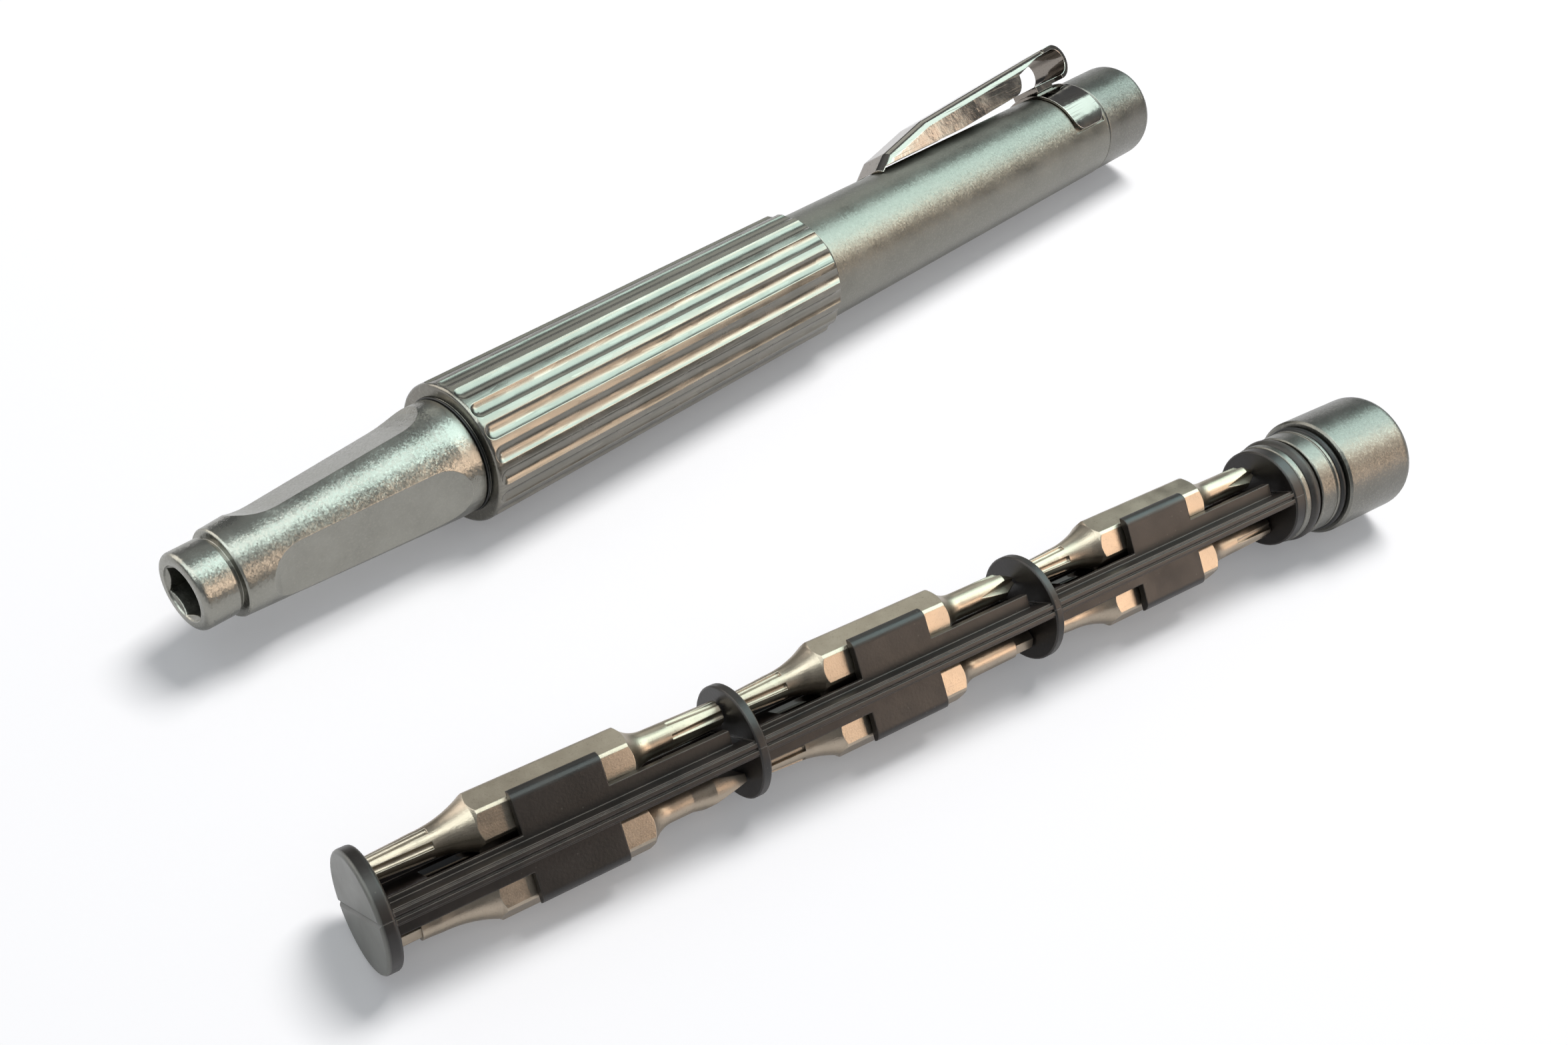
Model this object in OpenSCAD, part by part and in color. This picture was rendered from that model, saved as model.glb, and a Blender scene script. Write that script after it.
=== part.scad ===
// Pocket screwdriver with a draw-out bit cartridge, and a second cartridge lying in front of it.
// The driver lies along +X, nose tip at X = 0. The floor is at Z = -grip_d / 2.

/* [Bits] */
// length of a double-ended bit
bit_len = 28; // [26:0.1:30]
// size of a bit's hexagon across its flats
bit_flats = 3.95; // [3.85:0.01:4]
// size of a bit's hexagon across its rounded corners
bit_corners = 4.4; // [4.3:0.01:4.46]
// length of a bit's front tip, up to its hexagon
bit_front = 7.7; // [7.4:0.05:8.4]
// length of a bit's hexagon
bit_hex = 11.9; // [11:0.05:12.4]
// diameter of a bit's round shafts
bit_shaft = 2.2; // [2:0.02:2.4]
// length of the flared shoulder before the hexagon
bit_flare_front = 4.2; // [3:0.1:4.6]
// length of the flared shoulder after the hexagon
bit_flare_rear = 2.2; // [1.6:0.1:2.6]
// width of a slotted tip
blade_width = 3; // [2.4:0.1:3.4]

/* [Carrier] */
// diameter of the carrier's discs
disc_d = 9; // [8.9:0.02:9.1]
// thickness of the front disc
disc_front = 1.2; // [1:0.05:1.6]
// thickness of the two discs between bits
disc_middle = 0.8; // [0.6:0.05:1.2]
// thickness of the rear disc
disc_rear = 1.15; // [0.8:0.05:1.4]
// rounding of the front disc's rim
disc_round = 0.3; // [0.1:0.05:0.45]
// how far a bit's hexagon stands out past the discs
bit_proud = 0.2; // [0:0.01:0.24]
// endwise play of a bit between its discs
bit_play = 0.35; // [0.1:0.05:0.4]
// sideways clearance of a bit in its clip and seat
seat_gap = 0.03; // [0.02:0.01:0.06]
// thickness of the web, both halves together
web_thick = 1.2; // [1.1:0.02:1.3]
// place of a bit clip block, from the front of its bay
block_from = 10.2; // [9.6:0.1:11]
// length of a bit clip block
block_len = 7; // [5:0.1:7.5]
// thickness of a bit clip block and of a trough wall
block_wall = 0.8; // [0.8:0.02:0.86]
// height of a bit clip block above the middle plane
block_top = 4.14; // [3.6:0.02:4.16]
// rounding of a bit clip block's outer edge
block_round = 0.76; // [0.4:0.02:0.8]
// height of a trough wall above the web
wall_height = 1.1; // [0.7:0.05:1.9]
// height of the low lip along a trough
lip_height = 0.4; // [0.2:0.05:0.6]
// length of the carrier's stub in the cap
stub_len = 4; // [3:0.1:5]
// diameter of the carrier's stub in the cap
stub_d = 5.6; // [5:0.1:6]

/* [Tail cap] */
// diameter of the cap
cap_d = 10.9; // [10.7:0.02:10.96]
// length of the cap behind the barrel
cap_len = 8.8; // [7.5:0.1:10]
// rounding of the cap's end
cap_round = 1; // [0.6:0.05:1.4]
// diameter of the neck's wide land
neck_d = 9.5; // [9.4:0.02:9.5]
// length of the neck's front land
land_front = 0.6; // [0.5:0.05:1.6]
// length of the neck's wide land
land_wide = 2.3; // [1.8:0.05:2.6]
// section of the front O-ring
ring_front = 1.4; // [1.3:0.02:1.5]
// section of the O-ring at the shoulder
ring_rear = 0.7; // [0.6:0.02:1.2]
// radial clearance of the neck in the barrel
neck_gap = 0.1; // [0.08:0.01:0.12]
// radial clearance of the O-rings in the barrel
ring_gap = 0.02; // [0.015:0.005:0.03]

/* [Barrel] */
// diameter of the barrel behind the grip
barrel_front_d = 11.4; // [11.3:0.02:11.6]
// diameter of the barrel at its mouth
barrel_rear_d = 11; // [10.98:0.02:11.1]
// radial clearance of the cartridge in the bore
bore_gap = 0.08; // [0.06:0.01:0.1]
// set-back of the cartridge's front behind the grip's front
cart_back = 0; // [-0.1:0.05:0.4]
// gap before the cartridge's front in the bore
bore_end_gap = 0.3; // [0.2:0.05:0.5]
// gap of the seam between the barrel and the cap
cap_seam = 0.1; // [0.06:0.01:0.15]
// diameter of the barrel inside the grip
seat_d = 10.5; // [10.4:0.02:10.6]
// radial clearance of pieces glued or screwed together
joint_gap = 0.02; // [0.015:0.005:0.03]

/* [Grip] */
// diameter of the grip sleeve
grip_d = 12.85; // [12.4:0.05:13]
// length of the grip sleeve
grip_len = 44.6; // [40:0.2:48]
// number of flutes on the grip
flute_count = 19; // [16:1:20]
// turn of the first flute about the long axis, from straight up toward the front
flute_turn = 4.7; // [0:0.1:18]
// radius of a flute
flute_radius = 1.2; // [0.8:0.05:1.3]
// depth of a flute
flute_depth = 0.3; // [0.2:0.01:0.32]
// plain length before the flutes
flute_start = 0.2; // [0.1:0.05:2]
// rounding of the grip's front edge
grip_round = 0.35; // [0.2:0.05:0.7]

/* [Nose] */
// length of the nose piece
nose_len = 25.75; // [24.6:0.05:27]
// diameter of the nose's collar
collar_d = 6.65; // [6.5:0.05:6.8]
// length of the nose's collar
collar_len = 2.95; // [2.5:0.05:3.4]
// diameter of the cone's front end
cone_front_d = 7.6; // [7.2:0.02:7.8]
// diameter of the nose's base
nose_base_d = 10.4; // [10.3:0.02:10.5]
// length of the plain ring at the nose's base
nose_base = 1.8; // [1.6:0.05:2]
// where the flats start, from the nose tip
flat_start = 5.6; // [5:0.1:7]
// length of the flats
flat_len = 18.7; // [14:0.1:18.9]
// depth of the flats, as a share of the cone's radius
flat_share = 0.22; // [0.12:0.005:0.23]
// radius in which a flat runs out at its ends
flat_runout = 6; // [3:0.5:8]
// turn of the first flat about the long axis, from straight up toward the front
flat_turn = 87; // [60:1:120]
// clearance of a bit in the socket, across the flats
socket_gap = 0.1; // [0.05:0.01:0.15]
// depth of the bit socket
socket_depth = 9; // [8:0.1:10]
// diameter of the bit magnet
magnet_d = 4; // [3.6:0.05:4.1]
// length of the bit magnet
magnet_len = 2.5; // [2:0.1:3]
// thickness of the seal ring behind the nose
seal_thick = 0.25; // [0.2:0.05:0.6]

/* [Clip] */
// turn of the clip about the long axis, from straight up toward the front
clip_turn = -45; // [-60:1:60]
// width of the clip's band along the barrel
band_width = 5.4; // [5:0.1:5.8]
// how far the band reaches round the barrel, each way
band_reach = 93; // [91:0.5:100]
// thickness of the clip's sheet
clip_sheet = 0.5; // [0.4:0.02:0.55]
// depth of the recess under the band
band_recess = 0.15; // [0.1:0.01:0.16]
// gap from the band to the barrel's mouth
band_edge = 0.7; // [0.4:0.05:1]
// width of the clip's arm
arm_width = 4.8; // [4.4:0.05:5.2]
// outer radius of the clip's bend
bend_radius = 2.05; // [1.7:0.05:2.2]
// distance of the arm's knee from the axis
knee_radius = 8.5; // [8.3:0.05:9]
// length of the arm from its bend to its knee
knee_reach = 24.5; // [20:0.5:26]
// length of the arm from its bend to where it touches the barrel
touch_reach = 33.9; // [33.5:0.1:35]
// length of the arm from its bend to the fold before its end
fold_reach = 31.8; // [31:0.1:32]
// distance of the fold from the axis
fold_radius = 7; // [6.8:0.05:7.2]
// rounding of the arm's long edges
arm_round = 1; // [0.6:0.05:1.1]
// distance of the side walls' lower edge from the axis
skirt_low = 5.75; // [5.7:0.02:6.2]
// rise of the side walls' lower edge toward the bend
skirt_rise = 0.6; // [0:0.05:0.8]

/* [Loose cartridge] */
// place of the cartridge's front along the driver
loose_x = -7.6; // [-20:0.05:10]
// place of the cartridge's front in front of the driver
loose_y = -30.9; // [-40:0.1:-28]
// turn of the cartridge seen from above
loose_turn = -12.66; // [-20:0.1:0]
// roll of the cartridges about their own length
web_roll = -39; // [-60:1:60]

/* [Hidden] */
$fn = 64;

// places along the cartridge, from the face of its front disc
disc_r = disc_d / 2;
bay = bit_len + bit_play;
disc_2_at = disc_front + bay;
disc_3_at = disc_2_at + disc_middle + bay;
disc_4_at = disc_3_at + disc_middle + bay;
carrier_len = disc_4_at + disc_rear;
bay_at = [disc_front, disc_2_at + disc_middle, disc_3_at + disc_middle];
hex_from = bit_play / 2 + bit_front;
bit_high = disc_r - bit_corners / 2 + bit_proud;
web_half = web_thick / 2;
block_in = bit_flats / 2 + seat_gap;
block_out = block_in + block_wall;

// neck of the cap, from front to rear
neck_r = neck_d / 2;
neck_bore_r = neck_r + neck_gap;
mouth_r = neck_bore_r + 0.15;
ring_front_at = carrier_len + land_front;
wide_at = ring_front_at + ring_front + 0.1;
ring_rear_at = wide_at + land_wide;
cap_at = ring_rear_at + ring_rear + 0.1;
cart_len = cap_at + cap_len;
ring_front_r = neck_bore_r - ring_gap - ring_front / 2;
ring_rear_r = mouth_r - ring_gap - ring_rear / 2;
cap_r = cap_d / 2;
cap_edge = 0.2;

// places along the driver, from the nose tip
grip_at = nose_len + seal_thick;
grip_end = grip_at + grip_len;
cart_at = grip_at + cart_back;
bore_at = cart_at - bore_end_gap;
mouth_at = cart_at + cap_at - cap_seam;
neck_bore_at = cart_at + carrier_len - 0.5;
mouth_bore_at = cart_at + ring_rear_at - 0.3;
seat_r = seat_d / 2;
grip_r = grip_d / 2;
flute_half = sqrt(flute_depth * (2 * flute_radius - flute_depth));
bore_front_r = disc_r + bore_gap;
bore_r = bore_front_r + bit_proud;
bore_step = cart_at + disc_front + 2;
rim_r = bore_front_r + 0.25;
cone_at = collar_len + 0.45;
cone_end = nose_len - nose_base;
cone_angle = atan((nose_base_d - cone_front_d) / 2 / (cone_end - cone_at));
rim_at = nose_len - 0.7;
stub_at = nose_len - 7.2;
magnet_at = socket_depth;

// clip, in the plane through the driver's axis
band_at = mouth_at - band_edge - band_width;
recess_r = barrel_rear_d / 2 - band_recess;
band_in = recess_r + joint_gap;
band_out = band_in + clip_sheet;
bend_x = band_at + band_width + 0.3;
bend_z = band_out + 0.05 + bend_radius;
touch_x = bend_x - touch_reach;
touch_z = barrel_r(touch_x) + 0.08;
knee_x = bend_x - knee_reach;
fold_x = bend_x - fold_reach;

// the loose cartridge rests on its front disc and on the front edge of its cap
loose_tilt = asin((cap_r - disc_r) / (cap_at + cap_edge - disc_front / 2));
loose_z = -grip_r + disc_r * cos(loose_tilt) - disc_front / 2 * sin(loose_tilt);

// tips of the six bits, front and rear
front_tips = ["star", "star", "star", "hex", "star", "hex"];
rear_tips = ["star", "cross", "cross", "blade", "hex", "star"];

// radius of the barrel's outside at a place along it
function barrel_r(x) =
  (barrel_front_d + (barrel_rear_d - barrel_front_d) * (x - grip_end) / (mouth_at - grip_end)) / 2;

// points of an arc of a section
function arc(cx, cy, r, from, to, n = 8) =
  [for (i = [0:n]) [cx + r * cos(from + (to - from) * i / n), cy + r * sin(from + (to - from) * i / n)]];

// points of a concave flare from radius a at place u to radius b at place v
function flare(a, u, b, v, n = 10) =
  let (w = abs(v - u), rise = b - a, rad = (w * w + rise * rise) / (2 * rise))
  [for (i = [0:n]) let (s = w * i / n) [a + rad - sqrt(rad * rad - s * s), u + (v - u) * i / n]];

// direction of a line, and the two ends of the rounding at a corner of a path
function unit(v) = v / norm(v);
function left(v) = [-v[1], v[0]];
function shifted(p, d) = [
  for (i = [0:len(p) - 1])
    let (a = left(unit(i == 0 ? p[1] - p[0] : p[i] - p[i - 1])))
    let (b = left(unit(i == len(p) - 1 ? p[i] - p[i - 1] : p[i + 1] - p[i])))
    p[i] + d * (a + b) / (1 + a * b)
];
function rounded(p, r, n = 6) = [
  for (i = [0:len(p) - 1])
    for (q = i == 0 || i == len(p) - 1 ? [p[i]] : corner(p[i - 1], p[i], p[i + 1], r[i], n)) q
];
function corner(a, b, c, r, n) =
  let (u = unit(a - b), v = unit(c - b), half = acos(u * v) / 2)
  let (start = b + u * r / tan(half), end = b + v * r / tan(half), mid = b + unit(u + v) * r / sin(half))
  let (f = atan2(start[1] - mid[1], start[0] - mid[0]), t = atan2(end[1] - mid[1], end[0] - mid[0]))
  let (turn = t - f > 180 ? t - f - 360 : t - f < -180 ? t - f + 360 : t - f)
  [for (i = [0:n]) mid + r * [cos(f + turn * i / n), sin(f + turn * i / n)]];

// a section of radius and place turned round the X axis
module turned(points) {
  rotate([0, 90, 0])
    rotate_extrude()
      polygon(points);
}

// a round rod along X
module rod(r, from, to) {
  translate([from, 0, 0])
    rotate([0, 90, 0])
      cylinder(r = r, h = to - from);
}

// a flat outline of X and Z given a thickness across Y
module plate(points, y, thick) {
  translate([0, y + thick / 2, 0])
    rotate([90, 0, 0])
      linear_extrude(thick)
        polygon(points);
}

// a hexagonal rod along X with a corner upward
module hex_rod(flats, from, to) {
  translate([from, 0, 0])
    rotate([0, 90, 0])
      cylinder(r = flats / sqrt(3), h = to - from, $fn = 6);
}

// a box between two corners
module span(a, b) {
  translate(a)
    cube(b - a);
}

// nose: collar, cone with three flats, base ring, socket and rear bore
module nose_piece() {
  socket = bit_flats + socket_gap;
  color("#7d8078")
    difference() {
      union() {
        turned(concat(
          [[0, 0]], arc(collar_d / 2 - 0.5, 0.5, 0.5, -90, 0, 6),
          [[collar_d / 2, collar_len], [collar_d / 2 - 0.35, collar_len + 0.1],
           [collar_d / 2 - 0.35, cone_at], [cone_front_d / 2 - 0.1, cone_at],
           [cone_front_d / 2, cone_at + 0.15], [nose_base_d / 2, cone_end],
           [nose_base_d / 2, nose_len - 0.15], [nose_base_d / 2 - 0.15, nose_len], [0, nose_len]]));
      }
      for (k = [0:2])
        rotate([flat_turn + 120 * k, 0, 0])
          nose_flat();
      hex_rod(socket, -1, socket_depth);
      turned([[0, -0.5], [socket / 2 + 0.75, -0.5], [socket / 2 + 0.3, 0.15], [socket / 2 - 0.3, 0.55],
              [0, 0.55]]);
      rod(magnet_d / 2 + joint_gap, socket_depth, stub_at + 1);
      rod(3.2 + joint_gap, stub_at - joint_gap, nose_len + 1);
      rod(rim_r + joint_gap, rim_at - joint_gap, nose_len + 1);
    }
}

// one milled flat, sloped like the cone, running out of the metal in an arc at each end
module nose_flat() {
  deep = cone_front_d / 2 * flat_share;
  flat_r = cone_front_d / 2 - deep + (flat_start - cone_at) * tan(cone_angle);
  fade = sqrt(2 * flat_runout * deep - deep * deep);
  far = flat_runout + 2;
  translate([flat_start, 0, flat_r])
    rotate([0, -cone_angle, 0])
      plate(concat(
          arc(fade, flat_runout, flat_runout, 180, 270, 12),
          arc(flat_len - fade, flat_runout, flat_runout, 270, 360, 12),
          [[flat_len - fade + flat_runout, far], [fade - flat_runout, far]]),
        0, 2 * cone_front_d);
}

// magnet at the bottom of the socket
module bit_magnet() {
  color("#c4c6c8")
    rod(magnet_d / 2, magnet_at + 0.01, magnet_at + 0.01 + magnet_len);
}

// seal ring between the nose and the grip
module nose_seal() {
  out = nose_base_d / 2 + 0.1;
  color("#17171a")
    turned([[rim_r + joint_gap, nose_len + 0.01], [out - 0.06, nose_len + 0.01], [out, nose_len + 0.07],
            [out, grip_at - 0.07], [out - 0.06, grip_at - 0.01], [rim_r + joint_gap, grip_at - 0.01]]);
}

// barrel: tube with the grip's seat, the cartridge bore, and a stub into the nose
module barrel() {
  pin = magnet_at + magnet_len + 0.03;
  color("#74786f")
    difference() {
      turned([[0, pin], [magnet_d / 2 - 0.05, pin], [magnet_d / 2 - 0.05, stub_at], [3.2, stub_at],
              [3.2, rim_at], [rim_r, rim_at], [rim_r, grip_at], [seat_r, grip_at], [seat_r, grip_end + 0.15],
              [barrel_front_d / 2 - 0.15, grip_end + 0.15], [barrel_front_d / 2, grip_end + 0.3],
              [barrel_rear_d / 2, mouth_at - 0.12], [barrel_rear_d / 2 - 0.12, mouth_at],
              [mouth_r, mouth_at], [mouth_r, mouth_bore_at], [neck_bore_r, mouth_bore_at - 0.2],
              [neck_bore_r, neck_bore_at], [bore_r, neck_bore_at - 0.2], [bore_r, bore_step],
              [bore_front_r, bore_step - 0.3], [bore_front_r, bore_at], [0, bore_at]]);
      rotate([clip_turn, 0, 0])
        band_ring(recess_r, barrel_front_d, band_at - 0.15, band_at + band_width + 0.1, band_reach + 2);
    }
}

// a broken ring round X, open below, reaching the given angle each way from the top
module band_ring(inside, outside, from, to, reach) {
  far = 4 * outside;
  translate([from, 0, 0])
    rotate([90, 0, 90])
      linear_extrude(to - from)
        difference() {
          circle(outside);
          circle(inside);
          polygon([[0, 0], far * [sin(reach), cos(reach)], [far, -far], [-far, -far],
                   far * [-sin(reach), cos(reach)]]);
        }
}

// fluted grip sleeve
module grip_sleeve() {
  in = seat_r + joint_gap;
  color("#80837b")
    difference() {
      turned(concat(
        [[in, grip_at + 0.01]],
        arc(grip_r - grip_round, grip_at + 0.01 + grip_round, grip_round, -90, 0, 8),
        [[grip_r, grip_end - 0.5], [grip_r - 0.55, grip_end], [in, grip_end]]));
      for (k = [0:flute_count - 1])
        rotate([flute_turn + 360 * k / flute_count, 0, 0])
          translate([grip_at + flute_start + flute_half, 0, grip_r + flute_radius - flute_depth]) {
            rod(flute_radius, 0, grip_len);
            sphere(flute_radius);
          }
    }
}

// clip band with rounded ends, and the leg that leads to the bend
module clip_band() {
  soft = 1.5;
  color("#d7d9da")
    rotate([clip_turn, 0, 0]) {
      difference() {
        band_ring(band_in, band_out, band_at, band_at + band_width, band_reach);
        for (side = [-1, 1])
          rotate([side * (band_reach - soft / band_out * 57.3), 0, 0])
            for (end = [0, 1])
              translate([end == 0 ? band_at + soft : band_at + band_width - soft, 0, 0])
                mirror([end == 0 ? 0 : 1, 0, 0])
                  mirror([0, side == 1 ? 0 : 1, 0])
                    band_corner(soft);
      }
      span([band_at + 1.2, -arm_width / 2 + 0.6, band_in + 0.3],
           [band_at + band_width - 1.2, arm_width / 2 - 0.6, bend_z - bend_radius + clip_sheet]);
      span([band_at + 1.2, -arm_width / 2 + 0.6, bend_z - bend_radius],
           [bend_x - 0.05, arm_width / 2 - 0.6, bend_z - bend_radius + clip_sheet]);
    }
}

// the corner taken off one end of the band
module band_corner(soft) {
  linear_extrude(20)
    difference() {
      translate([-soft - 1, -soft - 1])
        square(soft + 1);
      circle(soft);
    }
}

// clip arm: bend, top, knee, fold, the end that rests on the barrel, and two side walls
module clip_arm() {
  top = bend_z + bend_radius;
  path = [[bend_x, top], [knee_x, knee_radius], [fold_x, fold_radius], [touch_x, touch_z]];
  bends = [0, 8, 1.2, 0];
  under = shifted(path, clip_sheet);
  middle = shifted(path, clip_sheet / 2);
  inner = [0, 8 - clip_sheet, 1.2 - clip_sheet, 0];
  skirt_end = bend_x - 7;
  color("#d7d9da")
    rotate([clip_turn, 0, 0]) {
      translate([bend_x, arm_width / 2, bend_z])
        rotate([90, 0, 0])
          linear_extrude(arm_width)
            difference() {
              circle(bend_radius);
              circle(bend_radius - clip_sheet);
              translate([-9, -9])
                square([9, 18]);
            }
      difference() {
        union() {
          plate(concat(rounded(path, bends), [for (i = [3:-1:0]) each
                [for (q = i == 0 || i == 3 ? [under[i]] :
                  corner(under[i + 1], under[i], under[i - 1], inner[i], 6)) q]]), 0, arm_width);
          for (side = [-1, 1])
            plate(concat(
                [middle[0] - [1, 0], middle[1], middle[2], middle[3] + [0.3, 0.1]],
                [[touch_x + 1.2, skirt_low], [bend_x - 19.5, skirt_low]],
                arc(skirt_end - 2, skirt_low + skirt_rise + 2, 2, -90, 0, 8)),
              side * (arm_width - clip_sheet) / 2, clip_sheet);
        }
        for (i = [0:2])
          for (side = [0, 1])
            mirror([0, side, 0])
              edge_cut(path[i] + [i == 0 ? -1.5 : 0, 0], path[i + 1]);
        rod(barrel_r(touch_x) + 0.03, touch_x - 1, fold_x);
      }
    }
}

// the corner taken off one long edge of the clip's arm, between two points of its path
module edge_cut(a, b) {
  r = arm_round;
  turn = atan2(b[1] - a[1], a[0] - b[0]);
  translate([a[0], 0, a[1]])
    rotate([0, turn, 0])
      translate([0.15, 0, 0])
        rotate([0, -90, 0])
          linear_extrude(norm(b - a) + 0.3)
            translate([-r, arm_width / 2 - r])
              difference() {
                square(r + 1);
                circle(r);
              }
}

// place of the cartridge inside the driver
module stored() {
  translate([cart_at, 0, 0])
    rotate([web_roll, 0, 0])
      children();
}

// place of the cartridge lying in front of the driver
module loose() {
  translate([loose_x, loose_y, loose_z])
    rotate([0, 0, loose_turn])
      rotate([0, -loose_tilt, 0])
        rotate([web_roll, 0, 0])
          children();
}

// place of a bit in the cartridge: three above the web and three below
module in_bay(i) {
  rotate([i < 3 ? 0 : 180, 0, 0])
    translate([bay_at[i % 3], 0, 0])
      children();
}

// tail cap and its neck
module cap() {
  front = ring_front_r - ring_front / 2;
  rear = ring_rear_r - ring_rear / 2;
  stub = stub_d / 2 + joint_gap;
  color("#74786f")
    turned(concat(
      [[stub, carrier_len + 0.01], [neck_r - 0.25, carrier_len + 0.01], [neck_r - 0.15, carrier_len + 0.1],
       [neck_r - 0.15, ring_front_at], [front, ring_front_at], [front, wide_at],
       [neck_r - 0.1, wide_at], [neck_r, wide_at + 0.1], [neck_r, ring_rear_at - 0.5],
       [neck_r - 0.12, ring_rear_at - 0.4], [neck_r - 0.12, ring_rear_at - 0.3],
       [neck_r + 0.04, ring_rear_at - 0.25], [neck_r + 0.04, ring_rear_at],
       [rear, ring_rear_at], [rear, cap_at],
       [cap_r - cap_edge, cap_at], [cap_r, cap_at + cap_edge]],
      arc(cap_r - cap_round, cart_len - cap_round, cap_round, 0, 90, 8),
      [[0, cart_len], [0, carrier_len + stub_len + 0.1], [stub, carrier_len + stub_len + 0.1]]));
}

// O-ring in the neck's front groove
module neck_ring_front() {
  color("#3a3632")
    translate([ring_front_at + ring_front / 2 + 0.05, 0, 0])
      rotate([0, 90, 0])
        rotate_extrude()
          translate([ring_front_r, 0])
            circle(ring_front / 2);
}

// O-ring at the cap's shoulder
module neck_ring_rear() {
  color("#141416")
    translate([ring_rear_at + ring_rear / 2 + 0.05, 0, 0])
      rotate([0, 90, 0])
        rotate_extrude()
          translate([ring_rear_r, 0])
            circle(ring_rear / 2);
}

// one half of the carrier, above the middle plane
module carrier_half() {
  edge = sqrt(disc_r * disc_r - web_half * web_half) - 0.1;
  far = carrier_len + stub_len;
  color("#26241f")
    difference() {
      union() {
        intersection() {
          union() {
            turned(concat([[0, 0]], arc(disc_r - disc_round, disc_round, disc_round, -90, 0, 6),
                          arc(disc_r - disc_round, disc_front - disc_round, disc_round, 0, 90, 6),
                          [[0, disc_front]]));
            for (x = [disc_2_at, disc_3_at])
              turned([[0, x], [disc_r - 0.12, x], [disc_r, x + 0.12], [disc_r, x + disc_middle - 0.12],
                      [disc_r - 0.12, x + disc_middle], [0, x + disc_middle]]);
            turned([[0, disc_4_at], [disc_r - 0.12, disc_4_at], [disc_r, disc_4_at + 0.12],
                    [disc_r, carrier_len], [0, carrier_len]]);
            rod(stub_d / 2, carrier_len - 0.1, far);
          }
          span([-1, -disc_d, 0], [far + 1, disc_d, disc_d]);
        }
        span([disc_front / 2, -edge + 0.18, 0], [carrier_len - 0.1, edge - 0.18, web_half]);
        span([disc_front / 2, -edge, 0.12], [carrier_len - 0.1, edge, web_half - 0.16]);
        for (x = bay_at)
          bay_walls(x);
      }
      for (x = bay_at)
        translate([x, 0, 0])
          bit_seat();
      rotate([0, 45, 0])
        span([-0.15, -disc_d, -0.15], [0.15, disc_d, 0.15]);
    }
}

// bit clip blocks and trough walls of one bay
module bay_walls(x) {
  low = web_half - 0.1;
  block_a = x + block_from;
  block_b = block_a + block_len;
  high = web_half + wall_height;
  for (side = [-1, 1])
    translate([block_a, 0, 0])
      rotate([90, 0, 90])
        linear_extrude(block_len)
          mirror([side == 1 ? 0 : 1, 0])
            polygon(concat([[block_in, low], [block_out, low]],
                           arc(block_out - block_round, block_top - block_round, block_round, 0, 90, 8),
                           [[block_in, block_top]]));
  span([block_b - 0.1, -block_out, low], [x + bay - 1.1, -block_in, high]);
  span([x - 0.1, block_in, low], [block_a + 0.1, block_out, high]);
  span([x - 0.1, -block_out, low], [block_a + 0.1, -block_out + 0.4, web_half + lip_height]);
  span([block_b - 0.1, block_out - 0.4, low], [x + bay + 0.1, block_out, web_half + lip_height]);
}

// the seat a bit's hexagon lies in, with the window under it
module bit_seat() {
  translate([0, 0, bit_high])
    rod(bit_corners / 2 + seat_gap, hex_from - bit_flare_front, hex_from + bit_hex + bit_flare_rear);
  span([hex_from - 0.2, -0.5, -1], [hex_from + bit_hex + 0.2, 0.5, web_thick]);
}

// a double-ended bit in its bay
module bit(front, rear) {
  r = bit_shaft / 2;
  big = bit_corners / 2;
  hex_end = bit_front + bit_hex;
  blade = rear == "blade";
  color("#9b958a")
    translate([bit_play / 2, 0, bit_high])
      difference() {
        intersection() {
          turned(concat(
            front == "hex" ? [[0, 0], [r * 0.9, 0]] : [[0, 0], [r * 0.72, 0], [r * 0.82, 0.12]],
            [[r * 0.94, bit_front - bit_flare_front - 1]],
            flare(r, bit_front - bit_flare_front, bit_flats / 2, bit_front - 0.25),
            [[big, bit_front], [big, hex_end]],
            [for (i = [0:10]) flare(r, hex_end + bit_flare_rear, bit_flats / 2, hex_end + 0.2)[10 - i]],
            blade ? [[r, bit_len - 4.4], [blade_width / 2, bit_len - 2.6], [blade_width / 2, bit_len]] :
            rear == "cross" ? [[r, bit_len - 1.3], [r * 0.35, bit_len]] :
            rear == "hex" ? [[r * 0.94, bit_len]] : [[r * 0.9, bit_len - 0.12], [r * 0.8, bit_len]],
            [[0, bit_len]]));
          hex_rod(bit_flats, -1, bit_len + 1);
        }
        tip_cut(front, r * 0.82);
        translate([bit_len, 0, 0])
          mirror([1, 0, 0])
            tip_cut(rear, r * 0.9);
      }
}

// what is cut from a tip whose end is at X = 0
module tip_cut(kind, r) {
  if (kind == "star")
    for (k = [0:5])
      rotate([60 * k + 30, 0, 0])
        translate([-0.5, 0, r + 0.02])
          rotate([0, 87, 0])
            cylinder(r = 0.3 * r, h = 5);
  if (kind == "hex")
    for (k = [0:5])
      rotate([60 * k, 0, 0])
        span([-1, -2, r * 0.8], [2, 2, r * 2]);
  if (kind == "cross")
    for (k = [0:3])
      rotate([90 * k, 0, 0])
        translate([-1, 0, 0.55])
          rotate([0, 77, 0])
            cylinder(r = 0.62, h = 7, $fn = 4);
  if (kind == "blade")
    for (k = [0, 180])
      rotate([k, 0, 0])
        translate([0, 0, 0.3])
          rotate([0, -14, 0])
            span([-2, -4, 0], [6, 4, 4]);
}

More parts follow.
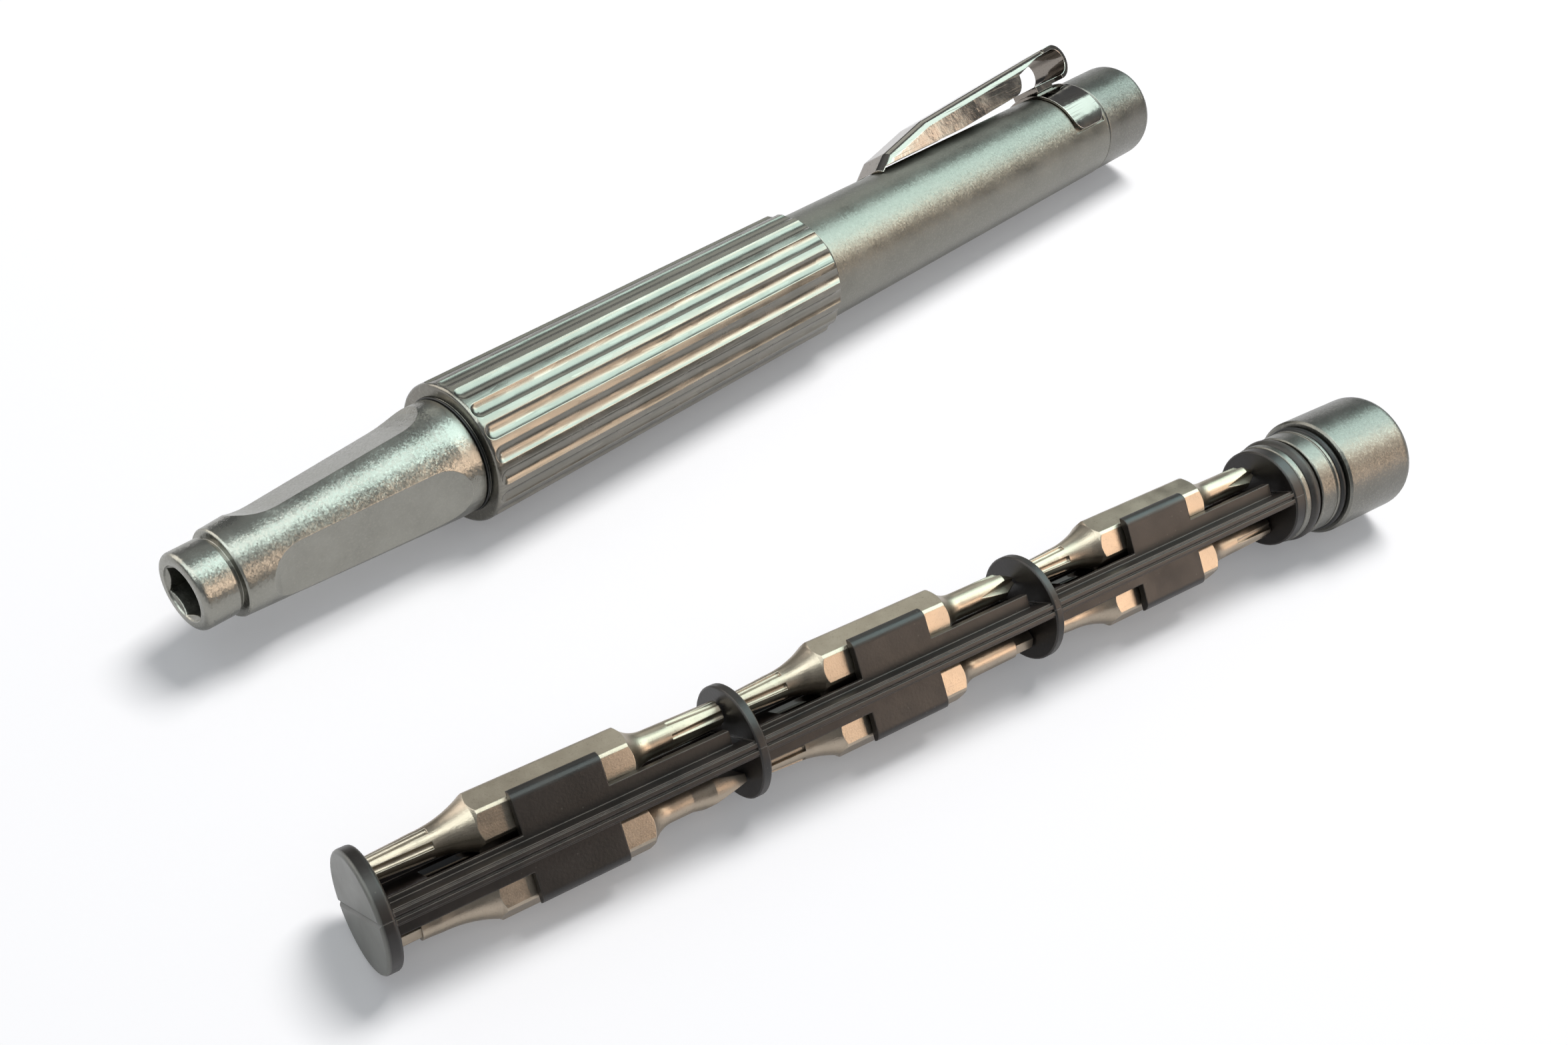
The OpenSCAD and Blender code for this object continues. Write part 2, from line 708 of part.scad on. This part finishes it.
nose_piece();
bit_magnet();
nose_seal();
barrel();
grip_sleeve();
clip_band();
clip_arm();
stored() cap();  // stored_cap
stored() neck_ring_front();  // stored_ring_front
stored() neck_ring_rear();  // stored_ring_rear
stored() carrier_half();  // stored_carrier_top
stored() rotate([180, 0, 0]) carrier_half();  // stored_carrier_bottom
loose() cap();  // loose_cap
loose() neck_ring_front();  // loose_ring_front
loose() neck_ring_rear();  // loose_ring_rear
loose() carrier_half();  // loose_carrier_top
loose() rotate([180, 0, 0]) carrier_half();  // loose_carrier_bottom
for (i = [0:5]) {
  stored() in_bay(i) bit(front_tips[i], rear_tips[i]);
  loose() in_bay(i) bit(front_tips[i], rear_tips[i]);
}
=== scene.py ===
import math

import bpy
from mathutils import Matrix, Vector

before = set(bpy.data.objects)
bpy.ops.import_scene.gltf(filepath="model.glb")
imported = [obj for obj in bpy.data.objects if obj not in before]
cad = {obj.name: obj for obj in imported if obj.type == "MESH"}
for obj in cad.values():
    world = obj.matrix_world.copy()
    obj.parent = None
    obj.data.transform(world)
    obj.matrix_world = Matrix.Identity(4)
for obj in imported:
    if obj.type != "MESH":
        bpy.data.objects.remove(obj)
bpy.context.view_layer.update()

# Nose piece: turned from aluminium bar, with a hexagonal socket in its collar and three flats milled on its
# cone. It is blasted with coarse beads, so it glitters, and it screws onto the stub of the barrel.


def rgb(text):
    """A colour written as sRGB hex, as the linear colour a socket takes."""
    parts = [int(text[i:i + 2], 16) / 255 for i in (1, 3, 5)]
    return [c / 12.92 if c <= 0.04045 else ((c + 0.055) / 1.055) ** 2.4 for c in parts] + [1]


def add(tree, kind, settings=None, inputs=None):
    """Adds a node, sets its settings, fills or links its inputs, and gives its outputs."""
    node = tree.nodes.new("ShaderNode" + kind)
    for name, value in (settings or {}).items():
        setattr(node, name, value)
    for name, value in (inputs or {}).items():
        if isinstance(value, bpy.types.NodeSocket):
            tree.links.new(value, node.inputs[name])
        else:
            node.inputs[name].default_value = value
    return node.outputs


def finish_for(name):
    """A material with nothing in it yet, its node tree, and the place on the piece in metres."""
    mat = bpy.data.materials.new(name)
    mat.use_nodes = True
    mat.node_tree.nodes.clear()
    return mat, mat.node_tree, add(mat.node_tree, "TexCoord")["Object"]


def broken_edge(tree, wide):
    """The normal with each edge rounded over that many millimetres, and how much of an edge a place is."""
    rounded = add(tree, "Bevel", {"samples": 6}, {"Radius": wide / 1000})["Normal"]
    plain = add(tree, "NewGeometry")["Normal"]
    facing = add(tree, "VectorMath", {"operation": "DOT_PRODUCT"}, {0: rounded, 1: plain})["Value"]
    flat, turned = 0.99, 0.85
    edge = add(tree, "MapRange", None, {"Value": facing, "From Min": flat, "From Max": turned})["Result"]
    return rounded, edge


def blasted(name, dark, light, bead, depth, facet, rough, along=1):
    """Blasted aluminium: dents of that bead size and depth in millimetres, each facing its own way by the
    share given as facet, break the light into sparkles. Cloudy patches come from handling, and the edges
    are rubbed bright. Along is how many times longer than wide the dents are, as a cutter leaves them."""
    mat, tree, place = finish_for(name)
    edge_wide, cloud_wide = 0.12, 4
    cloud_low, cloud_high = 0.3, 0.7
    glint_from, glint_share, rub_share = 0.6, 0.3, 0.5
    gloss_low, gloss_high = rough - 0.05, rough + 0.05
    rounded, edge = broken_edge(tree, edge_wide)
    lay = add(tree, "Mapping", None, {"Vector": place, "Scale": (1 / along, 1, 1)})[0]
    dents = add(tree, "TexNoise", None,
                {"Vector": lay, "Scale": 1000 / bead, "Detail": 3, "Roughness": 0.6})["Fac"]
    cells = add(tree, "TexVoronoi", None, {"Vector": lay, "Scale": 1000 / bead})["Color"]
    cloud = add(tree, "TexNoise", None,
                {"Vector": place, "Scale": 1000 / cloud_wide, "Detail": 4, "Roughness": 0.6})["Fac"]
    patch = add(tree, "MapRange", None,
                {"Value": cloud, "From Min": cloud_low, "From Max": cloud_high})["Result"]
    glint = add(tree, "MapRange", None,
                {"Value": cells, "From Min": glint_from, "From Max": 1, "To Max": glint_share})["Result"]
    rub = add(tree, "Math", {"operation": "MULTIPLY"}, {0: edge, 1: rub_share})[0]
    # a Mix of colours takes them on sockets 6 and 7, and gives the mixed one on 2
    tone = add(tree, "Mix", {"data_type": "RGBA"}, {0: patch, 6: rgb(dark), 7: rgb(light)})[2]
    tone = add(tree, "Mix", {"data_type": "RGBA"}, {0: glint, 6: tone, 7: rgb("#a19e94")})[2]
    tone = add(tree, "Mix", {"data_type": "RGBA"}, {0: rub, 6: tone, 7: rgb("#c9c6bc")})[2]
    gloss = add(tree, "MapRange", None,
                {"Value": cloud, "From Min": cloud_low, "From Max": cloud_high,
                 "To Min": gloss_low, "To Max": gloss_high})["Result"]
    lean, level = [facet] * 3, [-facet / 2] * 3
    tilted = add(tree, "VectorMath", {"operation": "MULTIPLY_ADD"}, {0: cells, 1: lean, 2: rounded})[0]
    tilted = add(tree, "VectorMath", {"operation": "ADD"}, {0: tilted, 1: level})[0]
    tilted = add(tree, "VectorMath", {"operation": "NORMALIZE"}, {0: tilted})[0]
    bump = add(tree, "Bump", None,
               {"Height": dents, "Distance": depth / 1000, "Strength": 1, "Normal": tilted})[0]
    skin = add(tree, "BsdfPrincipled", None,
               {"Base Color": tone, "Metallic": 1, "Roughness": gloss, "Normal": bump})[0]
    add(tree, "OutputMaterial", None, {"Surface": skin})
    return mat


def dress(nodes, mat):
    """Gives a material to CAD nodes."""
    for name in nodes:
        cad[name].data.materials.clear()
        cad[name].data.materials.append(mat)


dress(["nose_piece"], blasted("nose coarse blasted aluminium", "#85847d", "#94938c",
                              bead=0.15, depth=0.012, facet=0.11, rough=0.3))

# Bit magnet: a disc magnet with nickel plating, glued at the bottom of the socket.
# It is only seen down the hole, where it catches a little light.

dress(["bit_magnet"], blasted("magnet nickel plating", "#a5a49c", "#b8b7b0",
                              bead=0.4, depth=0.002, facet=0, rough=0.2))

# Seal ring: a thin washer of moulded black rubber, squeezed between the nose and the grip when the nose is
# screwed on. Only its dark rim shows.


def rubber(name, colour, dust):
    """Moulded rubber: a soft low sheen, with a faint bloom of dust. Sizes are in millimetres."""
    mat, tree, place = finish_for(name)
    cloud_wide, grit_wide, grit_deep = 0.8, 0.12, 0.008
    dust_low, dust_high, most_dust = 0.45, 0.75, 0.6
    gloss_clean, gloss_dusty = 0.42, 0.6
    cloud = add(tree, "TexNoise", None,
                {"Vector": place, "Scale": 1000 / cloud_wide, "Detail": 4, "Roughness": 0.7})["Fac"]
    bloom = add(tree, "MapRange", None,
                {"Value": cloud, "From Min": dust_low, "From Max": dust_high, "To Max": most_dust})["Result"]
    tone = add(tree, "Mix", {"data_type": "RGBA"}, {0: bloom, 6: rgb(colour), 7: rgb(dust)})[2]
    gloss = add(tree, "MapRange", None,
                {"Value": bloom, "From Max": most_dust,
                 "To Min": gloss_clean, "To Max": gloss_dusty})["Result"]
    grit = add(tree, "TexNoise", None, {"Vector": place, "Scale": 1000 / grit_wide, "Detail": 2})["Fac"]
    bump = add(tree, "Bump", None, {"Height": grit, "Distance": grit_deep / 1000, "Strength": 1})[0]
    skin = add(tree, "BsdfPrincipled", None, {"Base Color": tone, "Roughness": gloss, "Normal": bump})[0]
    add(tree, "OutputMaterial", None, {"Surface": skin})
    return mat


dress(["nose_seal"], rubber("seal black rubber", "#131313", "#262523"))

# Barrel: a tube turned from aluminium bar, blasted with fine beads, so its sheen is soft and even.
# It carries the grip in front and the clip behind, and its bore holds the cartridge.

dress(["barrel"], blasted("barrel fine blasted aluminium", "#73726b", "#7f7e77",
                          bead=0.13, depth=0.006, facet=0.1, rough=0.36))

# Grip sleeve: an aluminium tube with flutes milled along it, glued over the front of the barrel.
# The cutter left faint lines along the flutes, which shine a little more than the barrel.

dress(["grip_sleeve"], blasted("grip milled aluminium", "#716f68", "#7f7c75",
                               bead=0.22, depth=0.002, facet=0.05, rough=0.25, along=10))

# Pocket clip: one stamping of sprung steel sheet, polished and plated. The band snaps round the barrel below
# its mouth. The arm folds back over it from the bend, and runs forward with turned-down sides to its foot.


def plated(name):
    """Polished plating: a dark mirror, dulled by smears and hairline scratches along the arm. Sizes are in
    millimetres."""
    mat, tree, place = finish_for(name)
    edge_wide, smear_wide, smear_deep = 0.1, 2.5, 0.02
    smear_low, smear_high = 0.35, 0.7
    hair_wide, hair_along, hair_low, hair_high = 0.15, 40, 0.6, 0.72
    gloss_clean, gloss_smeared, gloss_scratch = 0.06, 0.16, 0.12
    rounded, edge = broken_edge(tree, edge_wide)
    smear = add(tree, "TexNoise", None,
                {"Vector": place, "Scale": 1000 / smear_wide, "Detail": 4, "Roughness": 0.6})["Fac"]
    lay = add(tree, "Mapping", None, {"Vector": place, "Scale": (1 / hair_along, 1, 1)})[0]
    lines = add(tree, "TexNoise", None, {"Vector": lay, "Scale": 1000 / hair_wide, "Detail": 2})["Fac"]
    hair = add(tree, "MapRange", None,
               {"Value": lines, "From Min": hair_low, "From Max": hair_high})["Result"]
    tone = add(tree, "Mix", {"data_type": "RGBA"}, {0: hair, 6: rgb("#857f78"), 7: rgb("#6d6760")})[2]
    tone = add(tree, "Mix", {"data_type": "RGBA"}, {0: edge, 6: tone, 7: rgb("#cfcbc4")})[2]
    dull = add(tree, "MapRange", None,
               {"Value": smear, "From Min": smear_low, "From Max": smear_high,
                "To Min": gloss_clean, "To Max": gloss_smeared})["Result"]
    gloss = add(tree, "Math", {"operation": "MULTIPLY_ADD"}, {0: hair, 1: gloss_scratch, 2: dull})[0]
    bump = add(tree, "Bump", None,
               {"Height": smear, "Distance": smear_deep / 1000, "Strength": 1, "Normal": rounded})[0]
    skin = add(tree, "BsdfPrincipled", None,
               {"Base Color": tone, "Metallic": 1, "Roughness": gloss, "Normal": bump})[0]
    add(tree, "OutputMaterial", None, {"Surface": skin})
    return mat


dress(["clip_band", "clip_arm"], plated("clip polished plating"))

# Tail caps: turned from aluminium bar in one piece with the neck that plugs the barrel's mouth.
# They are blasted like the barrel, and each is glued onto the stub of its carrier.

dress(["stored_cap", "loose_cap"], blasted("cap fine blasted aluminium", "#6b6a64", "#767570",
                                           bead=0.13, depth=0.006, facet=0.1, rough=0.36))

# O-rings: moulded rubber rings, stretched into the grooves of each neck.
# The front one has browned with use, and the one at the shoulder is black.

dress(["stored_ring_front", "loose_ring_front"], rubber("ring brown rubber", "#2f2b27", "#4a463f"))
dress(["stored_ring_rear", "loose_ring_rear"], rubber("ring black rubber", "#121212", "#242422"))

# Carriers: each is two black half mouldings of ABS, joined on the middle plane, with clips for three bits a
# side. The outside is satin from the mould, and the floors of the troughs came out glossy.


def moulded(name, at, turn):
    """Moulded ABS, black going brown: satin, with glossy trough floors, specks of dust and greyed edges, on
    a carrier that lies there, turned that way. The widths and depths of the marks are in millimetres."""
    mat, tree, place = finish_for(name)
    edge_wide, grit_wide, grit_deep, cloud_wide, speck_apart = 0.14, 0.25, 0.01, 3, 0.9
    # where the trough floors, the front face and the first bay begin and are whole, in metres
    floor_up, floor_side = (0.0008, 0.0007), (0.0026, 0.0024)
    sheen_face_span, first_bay = (0.0003, 0.0001), (0.0013, 0.0015)
    gloss_low, gloss_high, gloss_floor = 0.34, 0.46, -0.3
    patch_low, cloud_low, cloud_high = 0.35, 0.3, 0.7
    speck_rim, speck_core, most_speck = 0.09, 0.05, 0.4
    least_worn, floor_grit = 0.35, 0.1
    rounded, edge = broken_edge(tree, edge_wide)
    own = add(tree, "Mapping", {"vector_type": "TEXTURE"},
              {"Vector": place, "Location": at, "Rotation": turn})[0]
    x, y, z = add(tree, "SeparateXYZ", None, {"Vector": own})[:3]
    up = add(tree, "Math", {"operation": "ABSOLUTE"}, {0: z})[0]
    side = add(tree, "Math", {"operation": "ABSOLUTE"}, {0: y})[0]
    low = add(tree, "MapRange", None,
              {"Value": up, "From Min": floor_up[0], "From Max": floor_up[1]})["Result"]
    inner = add(tree, "MapRange", None,
                {"Value": side, "From Min": floor_side[0], "From Max": floor_side[1]})["Result"]
    painted_sheen_face = add(tree, "MapRange", None,
               {"Value": x, "From Min": sheen_face_span[0], "From Max": sheen_face_span[1]})["Result"]
    bay = add(tree, "MapRange", None,
              {"Value": x, "From Min": first_bay[0], "From Max": first_bay[1]})["Result"]
    floor = add(tree, "Math", {"operation": "MULTIPLY"}, {0: low, 1: inner})[0]
    floor = add(tree, "Math", {"operation": "MULTIPLY"}, {0: floor, 1: bay})[0]
    grit = add(tree, "TexNoise", None,
               {"Vector": own, "Scale": 1000 / grit_wide, "Detail": 3, "Roughness": 0.6})["Fac"]
    cloud = add(tree, "TexNoise", None,
                {"Vector": own, "Scale": 1000 / cloud_wide, "Detail": 4, "Roughness": 0.6})["Fac"]
    patch = add(tree, "MapRange", None,
                {"Value": cloud, "From Min": patch_low, "From Max": cloud_high})["Result"]
    dots = add(tree, "TexVoronoi", None, {"Vector": own, "Scale": 1000 / speck_apart})["Distance"]
    speck = add(tree, "MapRange", None,
                {"Value": dots, "From Min": speck_rim, "From Max": speck_core,
                 "To Max": most_speck})["Result"]
    worn = add(tree, "MapRange", None, {"Value": patch, "To Min": least_worn})["Result"]
    rub = add(tree, "Math", {"operation": "MULTIPLY"}, {0: edge, 1: worn})[0]
    tone = add(tree, "Mix", {"data_type": "RGBA"}, {0: patch, 6: rgb("#140f0c"), 7: rgb("#211a16")})[2]
    # the front face is painted light grey: a painted sheen standing for the bright light it reflects
    tone = add(tree, "Mix", {"data_type": "RGBA"}, {0: painted_sheen_face, 6: tone, 7: rgb("#787872")})[2]
    tone = add(tree, "Mix", {"data_type": "RGBA"}, {0: speck, 6: tone, 7: rgb("#57534c")})[2]
    tone = add(tree, "Mix", {"data_type": "RGBA"}, {0: rub, 6: tone, 7: rgb("#6a6158")})[2]
    dull = add(tree, "MapRange", None,
               {"Value": cloud, "From Min": cloud_low, "From Max": cloud_high,
                "To Min": gloss_low, "To Max": gloss_high})["Result"]
    gloss = add(tree, "Math", {"operation": "MULTIPLY_ADD"}, {0: floor, 1: gloss_floor, 2: dull})[0]
    depth = add(tree, "MapRange", None, {"Value": floor, "To Min": 1, "To Max": floor_grit})["Result"]
    bump = add(tree, "Bump", None,
               {"Height": grit, "Distance": grit_deep / 1000, "Strength": depth, "Normal": rounded})[0]
    skin = add(tree, "BsdfPrincipled", None, {"Base Color": tone, "Roughness": gloss, "Normal": bump})[0]
    add(tree, "OutputMaterial", None, {"Surface": skin})
    return mat


roll = math.radians(-39)
tilt = math.radians(0.5803)
yaw = math.radians(-12.66)
stored_at, stored_turn = (0.026, 0, 0), (roll, 0, 0)
loose_at, loose_turn = (-0.0076, -0.0309, -0.001931), (roll, -tilt, yaw)
dress(["stored_carrier_top", "stored_carrier_bottom"],
      moulded("stored carrier ABS", stored_at, stored_turn))
dress(["loose_carrier_top", "loose_carrier_bottom"],
      moulded("loose carrier ABS", loose_at, loose_turn))

# Bits: double-ended, of drawn hexagonal tool steel, turned and milled at both ends, with a satin finish.
# They snap between the carrier's clip blocks and lift straight out.


def tool_steel(name, at, turn):
    """Drawn tool steel: a satin grey with fine lines along it, dark pits and edges rubbed bright, on bits
    that lie with a carrier there, turned that way. Sizes are in millimetres."""
    mat, tree, place = finish_for(name)
    edge_wide, line_wide, line_along = 0.1, 0.1, 20
    cloud_wide, pit_wide, deep = 2.5, 0.15, 0.009
    cloud_low, cloud_high = 0.3, 0.7
    pit_low, pit_high, most_pit, rub_share = 0.6, 0.75, 0.4, 0.6
    gloss_low, gloss_high = 0.28, 0.42
    rounded, edge = broken_edge(tree, edge_wide)
    own = add(tree, "Mapping", {"vector_type": "TEXTURE"},
              {"Vector": place, "Location": at, "Rotation": turn})[0]
    lay = add(tree, "Mapping", None, {"Vector": own, "Scale": (1 / line_along, 1, 1)})[0]
    lines = add(tree, "TexNoise", None,
                {"Vector": lay, "Scale": 1000 / line_wide, "Detail": 3, "Roughness": 0.6})["Fac"]
    cloud = add(tree, "TexNoise", None,
                {"Vector": own, "Scale": 1000 / cloud_wide, "Detail": 4, "Roughness": 0.65})["Fac"]
    grit = add(tree, "TexNoise", None,
               {"Vector": own, "Scale": 1000 / pit_wide, "Detail": 2, "Roughness": 0.6})["Fac"]
    patch = add(tree, "MapRange", None,
                {"Value": cloud, "From Min": cloud_low, "From Max": cloud_high})["Result"]
    pits = add(tree, "MapRange", None,
               {"Value": grit, "From Min": pit_low, "From Max": pit_high, "To Max": most_pit})["Result"]
    rub = add(tree, "Math", {"operation": "MULTIPLY"}, {0: edge, 1: rub_share})[0]
    tone = add(tree, "Mix", {"data_type": "RGBA"}, {0: patch, 6: rgb("#9b9081"), 7: rgb("#afa292")})[2]
    tone = add(tree, "Mix", {"data_type": "RGBA"}, {0: pits, 6: tone, 7: rgb("#66615a")})[2]
    tone = add(tree, "Mix", {"data_type": "RGBA"}, {0: rub, 6: tone, 7: rgb("#c4bfb4")})[2]
    gloss = add(tree, "MapRange", None,
                {"Value": cloud, "From Min": cloud_low, "From Max": cloud_high,
                 "To Min": gloss_low, "To Max": gloss_high})["Result"]
    height = add(tree, "Math", {"operation": "ADD"}, {0: lines, 1: grit})[0]
    bump = add(tree, "Bump", None,
               {"Height": height, "Distance": deep / 1000, "Strength": 1, "Normal": rounded})[0]
    skin = add(tree, "BsdfPrincipled", None,
               {"Base Color": tone, "Metallic": 1, "Roughness": gloss, "Normal": bump})[0]
    add(tree, "OutputMaterial", None, {"Surface": skin})
    return mat


bits = range(1, 7)
dress([f"stored_bit_{i}" for i in bits], tool_steel("stored bit tool steel", stored_at, stored_turn))
dress([f"loose_bit_{i}" for i in bits], tool_steel("loose bit tool steel", loose_at, loose_turn))

# Table: a plain white sheet that the driver and the loose cartridge lie on. It isn't part of the object.
# The eye and the metal see a little of its own white besides its light and shadow, and more of it far away,
# where the lamp no longer reaches.

table_top, table_wide = -0.006425, 60
lamp_reach, lamp_end = 0.15, 1.4
glow_near, glow_far = 0.2, 0.76
bpy.ops.object.select_all(action="DESELECT")
bpy.ops.mesh.primitive_plane_add(size=table_wide, location=(0, 0, table_top))
table = bpy.context.object
table.name = "table"
mat, tree, place = finish_for("table white paper")
ray = add(tree, "LightPath")
seen = add(tree, "Math", {"operation": "MAXIMUM"}, {0: ray["Is Camera Ray"], 1: ray["Is Glossy Ray"]})[0]
seen = add(tree, "Math", {"operation": "MAXIMUM"}, {0: seen, 1: ray["Is Transmission Ray"]})[0]
paper = add(tree, "BsdfDiffuse", None, {"Color": rgb("#eaeaeb")})[0]
away = add(tree, "VectorMath", {"operation": "LENGTH"}, {0: place})["Value"]
bright = add(tree, "MapRange", None,
             {"Value": away, "From Min": lamp_reach, "From Max": lamp_end,
              "To Min": glow_near, "To Max": glow_far})["Result"]
glow = add(tree, "Emission", None, {"Color": rgb("#fbfbfd"), "Strength": bright})[0]
lit = add(tree, "AddShader", None, {0: paper, 1: glow})[0]
sheet = add(tree, "MixShader", None, {0: seen, 1: paper, 2: lit})[0]
add(tree, "OutputMaterial", None, {"Surface": sheet})
table.data.materials.append(mat)

# Studio: a neutral lamp nearly overhead lights the table, and panels off to its right shine in the metal,
# one cool, one warm, one low and one behind. Three more shine from above, the left and the rear, for other
# views. The room is dim at its walls, with a strip of white behind the table's far edge.

strip_top, strip_full, ceiling = 0.09, 0.06, 0.8
room_level, strip_level = 0.45, 1
bpy.context.scene.view_settings.view_transform = "Standard"
world = bpy.data.worlds.new("room")
bpy.context.scene.world = world
world.use_nodes = True
tree = world.node_tree
tree.nodes.clear()
height = add(tree, "SeparateXYZ", None, {"Vector": add(tree, "TexCoord")["Generated"]})["Z"]
rise = add(tree, "MapRange", None, {"Value": height, "From Max": ceiling})["Result"]
strip = add(tree, "MapRange", None,
            {"Value": height, "From Min": strip_top, "From Max": strip_full})["Result"]
walls = add(tree, "Mix", {"data_type": "RGBA"}, {0: rise, 6: rgb("#5a5f66"), 7: rgb("#dfe5ea")})[2]
walls = add(tree, "Mix", {"data_type": "RGBA"}, {0: strip, 6: walls, 7: rgb("#fbfbfd")})[2]
level = add(tree, "MapRange", None, {"Value": strip, "To Min": room_level, "To Max": strip_level})["Result"]
air = add(tree, "Background", None, {"Color": walls, "Strength": level})[0]
add(tree, "OutputWorld", None, {"Surface": air})


def softbox(name, way, far, wide, colour, watts, lights, shines):
    """A square lamp that far from the middle of the object, facing it. It lights what is dull, or shines in
    what is glossy, or both."""
    lamp = bpy.data.lights.new(name, "AREA")
    lamp.size = wide
    lamp.color = rgb(colour)[:3]
    lamp.energy = watts
    box = bpy.data.objects.new(name, lamp)
    middle = Vector((0.06, -0.02, 0))
    box.location = middle + Vector(way).normalized() * far
    box.rotation_euler = Vector(way).to_track_quat("Z", "Y").to_euler()
    box.visible_diffuse = lights
    box.visible_glossy = shines
    bpy.context.scene.collection.objects.link(box)


lamp_far, panel_far = 1.2, 0.6
softbox("neutral lamp", (0.42, 0.08, 0.9), lamp_far, 0.5, "#fffdfc", 12.2, lights=True, shines=False)
for name, way, wide, colour, watts in (
        ("cool panel", (0.6, -0.14, 0.78), 0.46, "#cfebea", 3.2),
        ("warm panel", (0.6, -0.52, 0.58), 0.26, "#ffe8d2", 0.7),
        ("back panel", (0.6, 0.64, 0.46), 0.3, "#eef2ea", 0.3),
        ("top panel", (-0.06, -0.1, 1), 0.3, "#e6eeec", 1.4),
        ("left panel", (-0.6, 0.14, 0.78), 0.46, "#e2edec", 2.6),
        ("rear panel", (-0.35, 0.8, 0.45), 0.4, "#f4efe8", 1.6),
        ("low panel", (0.38, -0.87, 0.3), 0.24, "#ffe2ca", 0.8)):
    softbox(name, way, panel_far, wide, colour, watts, lights=False, shines=True)

# Camera: where the photograph was taken from, about 16 cm from the middle of the object, looking down at it
# and held a little off level.

stand = (-0.04703, -0.08875, 0.0946)
heading, raised, lean = math.radians(-54.036), math.radians(40.894), math.radians(8.976)
sensor, lens, nearest = 36, 39.43, 0.005
level_back = Vector((math.sin(heading), -math.cos(heading), 0))
back = level_back * math.cos(raised) + Vector((0, 0, math.sin(raised)))
right = Vector((math.cos(heading), math.sin(heading), 0))
up = back.cross(right)
across = math.cos(lean) * right + math.sin(lean) * up
upward = math.cos(lean) * up - math.sin(lean) * right
camera = bpy.data.objects.new("camera", bpy.data.cameras.new("camera"))
bpy.context.scene.collection.objects.link(camera)
turned = Matrix((across, upward, back)).transposed().to_4x4()
camera.matrix_world = Matrix.Translation(stand) @ turned
camera.data.sensor_width = sensor
camera.data.lens = lens
camera.data.clip_start = nearest
bpy.context.scene.camera = camera
